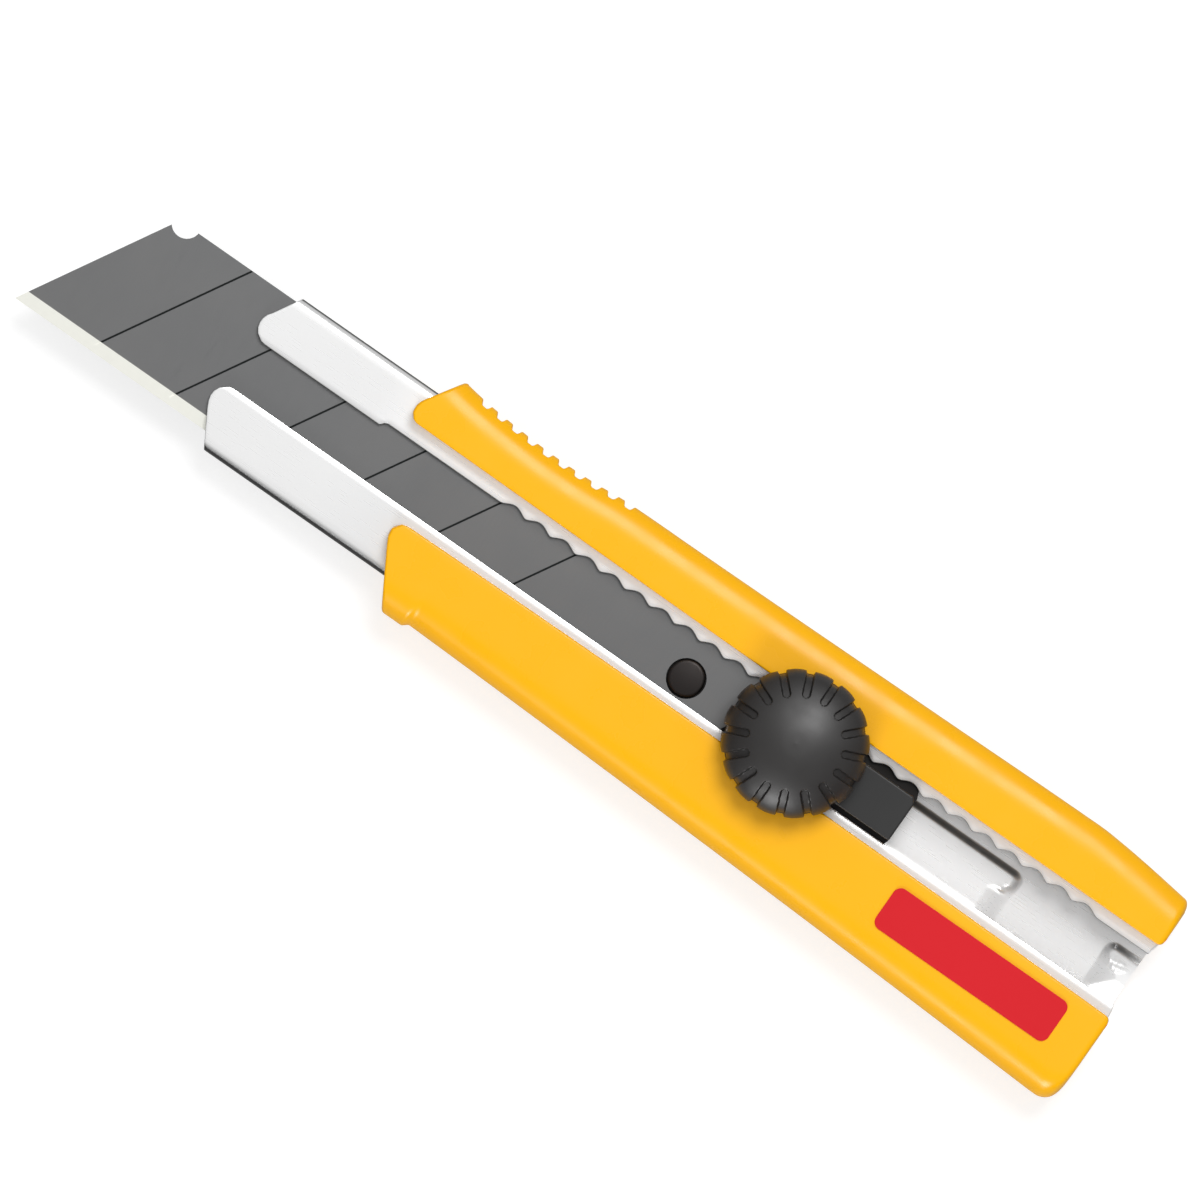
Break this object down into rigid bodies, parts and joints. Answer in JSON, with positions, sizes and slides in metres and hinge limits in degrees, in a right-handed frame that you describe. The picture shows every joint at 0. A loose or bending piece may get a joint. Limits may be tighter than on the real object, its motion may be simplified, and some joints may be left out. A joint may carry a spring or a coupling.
{
  "type": "utility knife",
  "caption": "Heavy-duty snap-off utility knife: moulded handle, steel blade channel, sliding blade and a screw lock knob.",
  "frame": {"origin": "on the flat back face, under the middle of the handle and the centre line of the slot that the knob travels in", "axes": "+X along the knife from the blade tip to the tail, +Z out of the back towards the lock knob, +Y towards the blade's back and the finger grips"},
  "size_m": [0.2075, 0.041, 0.0234],
  "materials": {
    "handle": "moulded ABS, satin gloss",
    "sheath": "bright stainless sheet",
    "label": "plain printed vinyl",
    "slider_base": "moulded acetal",
    "slider_block": "moulded acetal, smooth",
    "blade": "ground carbon steel",
    "blade_pin": "black oxide",
    "clamp_screw": "zinc plated",
    "lock_washer": "zinc plated",
    "knob": "moulded nylon, satin",
    "knob_insert": "machined"
  },
  "bodies": {
    "housing": {"handle_body": "handle", "sheath": "sheath", "label": "label"},
    "slider": {"slider_base": "slider_base", "slider_block": "slider_block", "blade": "blade", "blade_pin": "blade_pin", "clamp_screw": "clamp_screw"},
    "washer": {"lock_washer": "lock_washer"},
    "knob": {"lock_knob": "knob", "knob_insert": "knob_insert"}
  },
  "joints": [
    {"name": "blade_slide", "type": "slide", "parent": "housing", "child": "slider", "axis": [1, 0, 0], "range_m": [-0.065, 0.0385]},
    {"name": "washer_rise", "type": "slide", "parent": "slider", "child": "washer", "axis": [0, 0, 1], "range_m": [0, 0.00102]},
    {"name": "knob_turn", "type": "hinge", "parent": "washer", "child": "knob", "pos_m": [0.00704, 0, 0.019], "axis": [0, 0, 1], "range_deg": [0, 360]}
  ],
  "couplings": [
    {"joint": "washer_rise", "follows": "knob_turn", "m_per_rad": 0.00015915}
  ]
}
